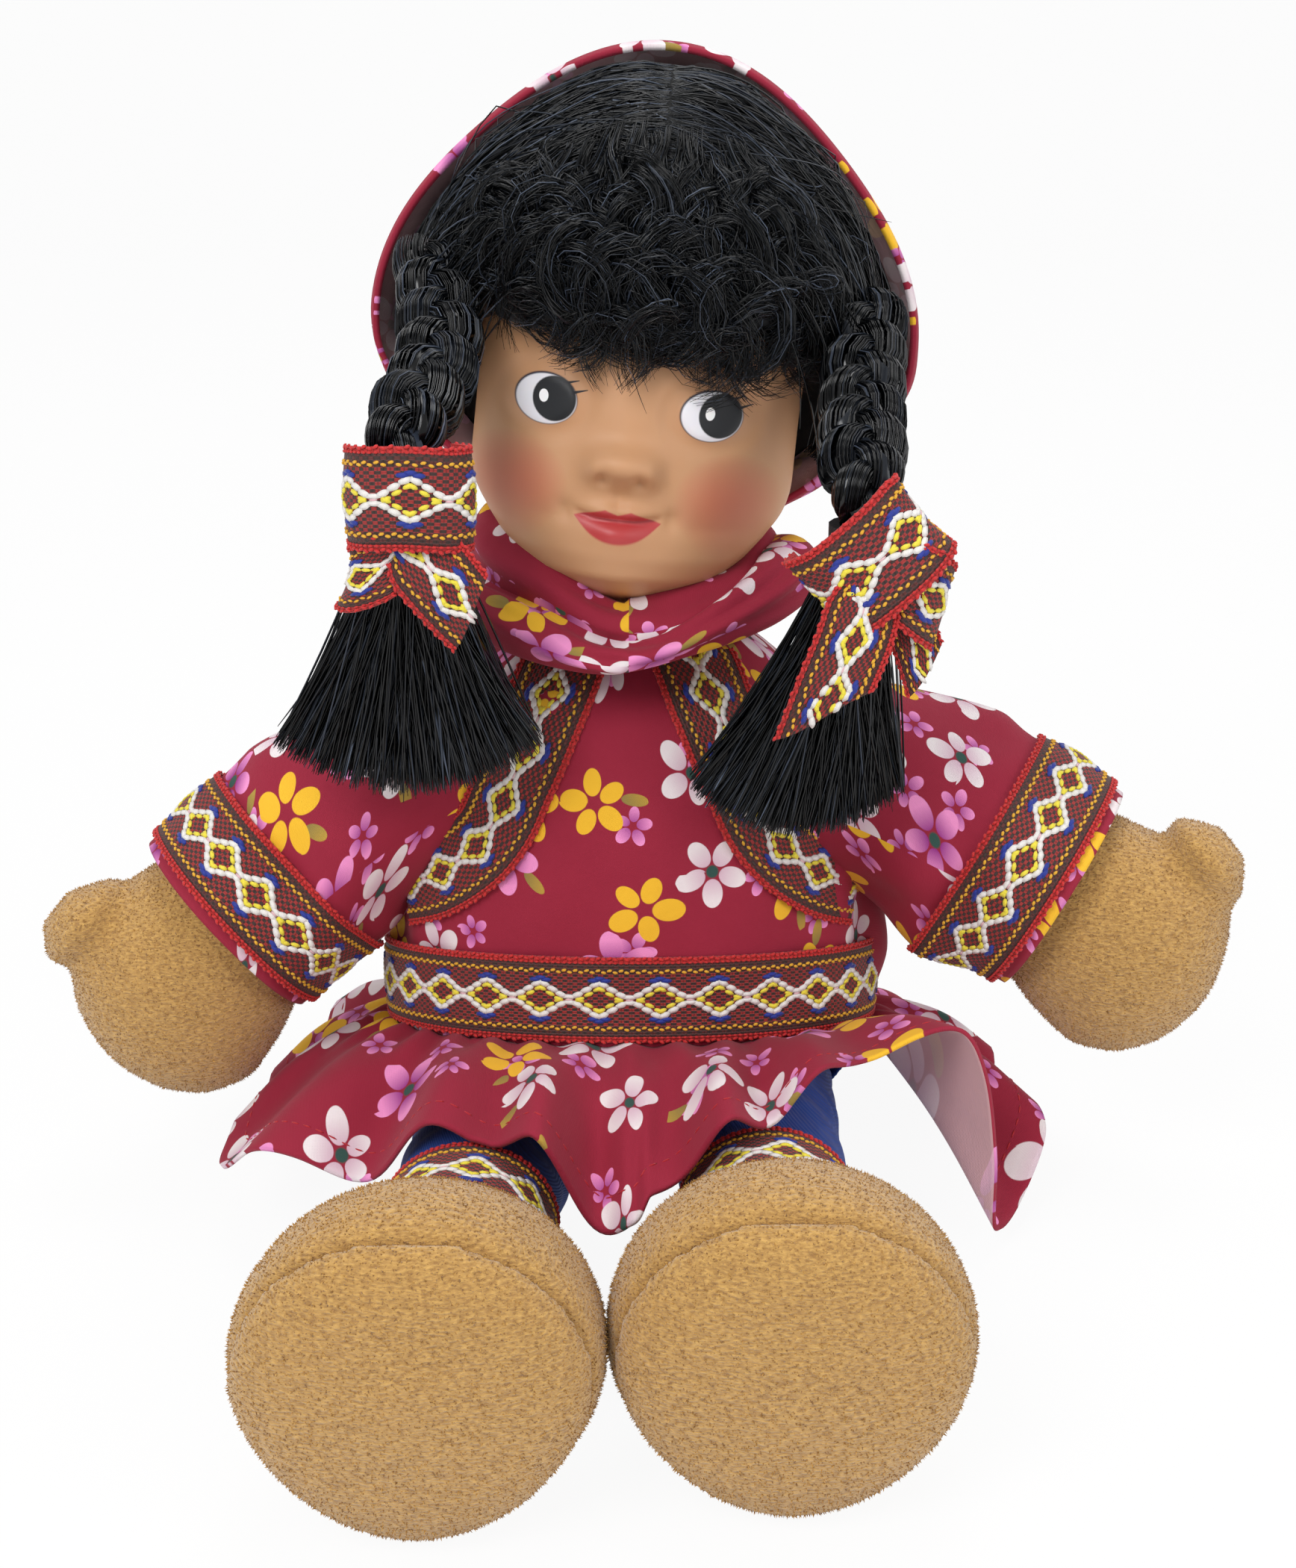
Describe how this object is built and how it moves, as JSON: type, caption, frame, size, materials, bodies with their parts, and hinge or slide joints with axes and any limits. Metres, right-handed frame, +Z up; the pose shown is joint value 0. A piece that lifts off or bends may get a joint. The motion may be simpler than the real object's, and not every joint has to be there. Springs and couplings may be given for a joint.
{
  "type": "costume doll",
  "caption": "Seated soft doll with a vinyl head, braided hair, floral hooded dress with woven ribbon trims, trousers and plush mitten hands and feet; head, limbs and braids move.",
  "frame": {"origin": "middle of the flat underside of the seat", "axes": "+Z up, the doll faces -Y, +X to the doll's left"},
  "size_m": [0.3371, 0.2868, 0.3126],
  "materials": {
    "print": "printed cotton, matt",
    "ribbon": "jacquard woven ribbon",
    "plush": "short pile plush",
    "vinyl": "soft vinyl, satin",
    "hair": "glossy synthetic fibre",
    "trousers": "plain cotton",
    "tie": "plain"
  },
  "bodies": {
    "trunk": {"torso": "plush", "neck_tie": "tie", "bodice": "print", "back_placket": "tie", "bolero_trim_right": "ribbon", "bolero_trim_left": "ribbon", "waist_ribbon": "ribbon", "peplum": "print", "trouser_seat": "trousers"},
    "right_arm": {"arm_right": "plush", "sleeve_right": "print", "cuff_ribbon_right": "ribbon"},
    "right_leg": {"leg_right": "plush", "foot_right": "plush", "sole_right": "plush", "trouser_leg_right": "trousers", "ankle_ribbon_right": "ribbon"},
    "right_braid": {"braid_right": "hair", "hair_elastic_right": "tie", "ribbon_bow_right": "ribbon", "tassel_right": "hair"},
    "left_arm": {"arm_left": "plush", "sleeve_left": "print", "cuff_ribbon_left": "ribbon"},
    "left_leg": {"leg_left": "plush", "foot_left": "plush", "sole_left": "plush", "trouser_leg_left": "trousers", "ankle_ribbon_left": "ribbon"},
    "left_braid": {"braid_left": "hair", "hair_elastic_left": "tie", "ribbon_bow_left": "ribbon", "tassel_left": "hair"},
    "head": {"head_shell": "vinyl", "hair_cap": "hair", "fringe": "hair", "hood": "print", "scarf": "print"}
  },
  "joints": [
    {"name": "head_turn", "type": "hinge", "parent": "trunk", "child": "head", "pos_m": [0, -0.024, 0.15], "axis": [0, 0, 1], "range_deg": [-15, 15]},
    {"name": "arm_lift_right", "type": "hinge", "parent": "trunk", "child": "right_arm", "pos_m": [-0.066, -0.02856, 0.119], "axis": [0, 1, 0], "range_deg": [0, 60]},
    {"name": "arm_lift_left", "type": "hinge", "parent": "trunk", "child": "left_arm", "pos_m": [0.066, -0.02856, 0.119], "axis": [0, -1, 0], "range_deg": [-5, 60]},
    {"name": "leg_swing_right", "type": "hinge", "parent": "trunk", "child": "right_leg", "pos_m": [-0.034, -0.05, 0.0248], "axis": [1, 0, 0], "range_deg": [0, 90]},
    {"name": "leg_swing_left", "type": "hinge", "parent": "trunk", "child": "left_leg", "pos_m": [0.034, -0.05, 0.0248], "axis": [1, 0, 0], "range_deg": [0, 90]},
    {"name": "braid_swing_right", "type": "hinge", "parent": "head", "child": "right_braid", "pos_m": [-0.05133, -0.02434, 0.26153], "axis": [-1, 0, 0], "range_deg": [0, 45]},
    {"name": "braid_swing_left", "type": "hinge", "parent": "head", "child": "left_braid", "pos_m": [0.06299, -0.0256, 0.24958], "axis": [-1, 0, 0], "range_deg": [0, 45]}
  ]
}
